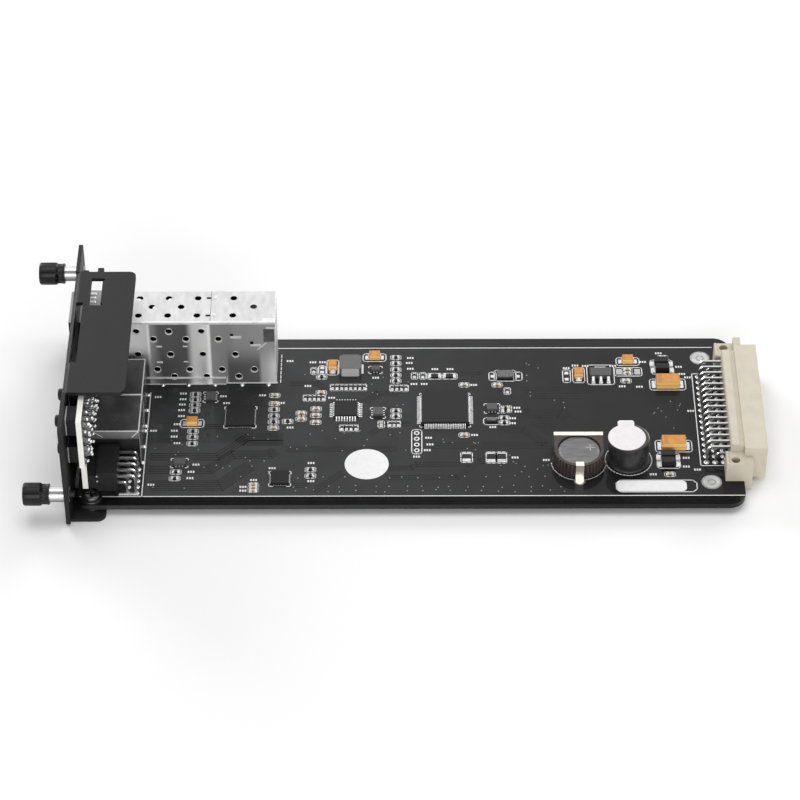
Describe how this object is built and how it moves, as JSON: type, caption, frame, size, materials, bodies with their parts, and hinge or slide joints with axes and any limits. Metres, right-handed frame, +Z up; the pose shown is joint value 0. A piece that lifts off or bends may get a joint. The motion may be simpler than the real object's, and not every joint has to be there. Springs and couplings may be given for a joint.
{
  "type": "lan management unit",
  "caption": "Flat plug-in management card: circuit board with a bent front panel, captive screws, press keys, network jacks, a two-storey module cage and a shrouded backplane connector.",
  "frame": {"origin": "middle of the card's footprint, at the height of its lowest edge", "axes": "+X from the front panel towards the backplane connector, +Y towards the module cage's side, +Z up from the component side"},
  "size_m": [0.2164, 0.084, 0.0376],
  "materials": {
    "panel_paint": "satin",
    "board_mask": "satin solder mask",
    "bright_steel": "satin",
    "knob_black": "satin",
    "black_plastic": "matt",
    "chip_black": "matt",
    "laminate": "cut edge",
    "display_glass": "polished",
    "gold": "bright",
    "mirror_steel": "mirror",
    "clear_lens": "clear",
    "beige_plastic": "moulded",
    "brown_plastic": "ribbed",
    "orange_mould": "moulded",
    "ferrite": "matt",
    "tan_ceramic": "fired",
    "resistor_black": "glazed",
    "white_paper": "matt"
  },
  "bodies": {
    "card": {"front_panel": "panel_paint", "main_board": "board_mask", "clinch_nuts": "bright_steel", "board_screws": "knob_black", "near_ferrule": "bright_steel", "near_spring": "bright_steel", "far_ferrule": "bright_steel", "far_spring": "bright_steel", "switch_housings": "black_plastic", "switch_covers": "bright_steel", "keypad_board": "laminate", "display_glass": "display_glass", "keypad_header": "black_plastic", "keypad_socket": "black_plastic", "keypad_socket_pins": "bright_steel", "jack_lights": "clear_lens", "jack_contacts": "gold", "near_jack_shield": "mirror_steel", "far_jack_shield": "mirror_steel", "near_jack_insert": "black_plastic", "far_jack_insert": "black_plastic", "cage_cover": "bright_steel", "cage_floor": "bright_steel", "cage_divider": "bright_steel", "cage_receptacle": "black_plastic", "cage_collar": "bright_steel", "backplane_housing": "beige_plastic", "backplane_pins": "bright_steel", "cell_holder": "brown_plastic", "coin_cell": "bright_steel", "cell_clips": "gold", "sounder_can": "black_plastic", "sounder_seal": "white_paper", "processor_body": "chip_black", "processor_leads": "bright_steel", "driver_body": "chip_black", "driver_leads": "bright_steel", "leadless_chips": "chip_black", "tantalum_bodies": "orange_mould", "tantalum_terminals": "bright_steel", "power_coil": "ferrite", "regulator_body": "chip_black", "regulator_leads": "bright_steel", "diode_bodies": "chip_black", "small_packages": "chip_black", "crystals": "bright_steel", "chip_resistors": "resistor_black", "chip_capacitors": "tan_ceramic", "board_labels": "white_paper"},
    "near_slip": {"near_slip_washer": "bright_steel"},
    "near_screw": {"near_knob": "knob_black", "near_stud": "bright_steel"},
    "far_slip": {"far_slip_washer": "bright_steel"},
    "far_screw": {"far_knob": "knob_black", "far_stud": "bright_steel"},
    "key_a": {"key_near_upper": "black_plastic"},
    "key_b": {"key_near_lower": "black_plastic"},
    "key_c": {"key_far_upper": "black_plastic"},
    "key_d": {"key_far_lower": "black_plastic"}
  },
  "joints": [
    {"name": "near_screw_push", "type": "slide", "parent": "card", "child": "near_slip", "axis": [1, 0, 0], "range_m": [0, 0.0036], "stiffness_N_per_m": 300, "springref_m": -0.002, "deforming": ["near_spring"]},
    {"name": "near_screw_turn", "type": "hinge", "parent": "near_slip", "child": "near_screw", "pos_m": [-0.10405, -0.038, 0.009], "axis": [1, 0, 0], "continuous": true},
    {"name": "far_screw_push", "type": "slide", "parent": "card", "child": "far_slip", "axis": [1, 0, 0], "range_m": [0, 0.0036], "stiffness_N_per_m": 300, "springref_m": -0.002, "deforming": ["far_spring"]},
    {"name": "far_screw_turn", "type": "hinge", "parent": "far_slip", "child": "far_screw", "pos_m": [-0.10405, 0.038, 0.029], "axis": [1, 0, 0], "continuous": true},
    {"name": "key_a_press", "type": "slide", "parent": "card", "child": "key_a", "axis": [1, 0, 0], "range_m": [0, 0.0003], "stiffness_N_per_m": 400, "springref_m": -0.0005},
    {"name": "key_b_press", "type": "slide", "parent": "card", "child": "key_b", "axis": [1, 0, 0], "range_m": [0, 0.0003], "stiffness_N_per_m": 400, "springref_m": -0.0005},
    {"name": "key_c_press", "type": "slide", "parent": "card", "child": "key_c", "axis": [1, 0, 0], "range_m": [0, 0.0003], "stiffness_N_per_m": 400, "springref_m": -0.0005},
    {"name": "key_d_press", "type": "slide", "parent": "card", "child": "key_d", "axis": [1, 0, 0], "range_m": [0, 0.0003], "stiffness_N_per_m": 400, "springref_m": -0.0005}
  ]
}
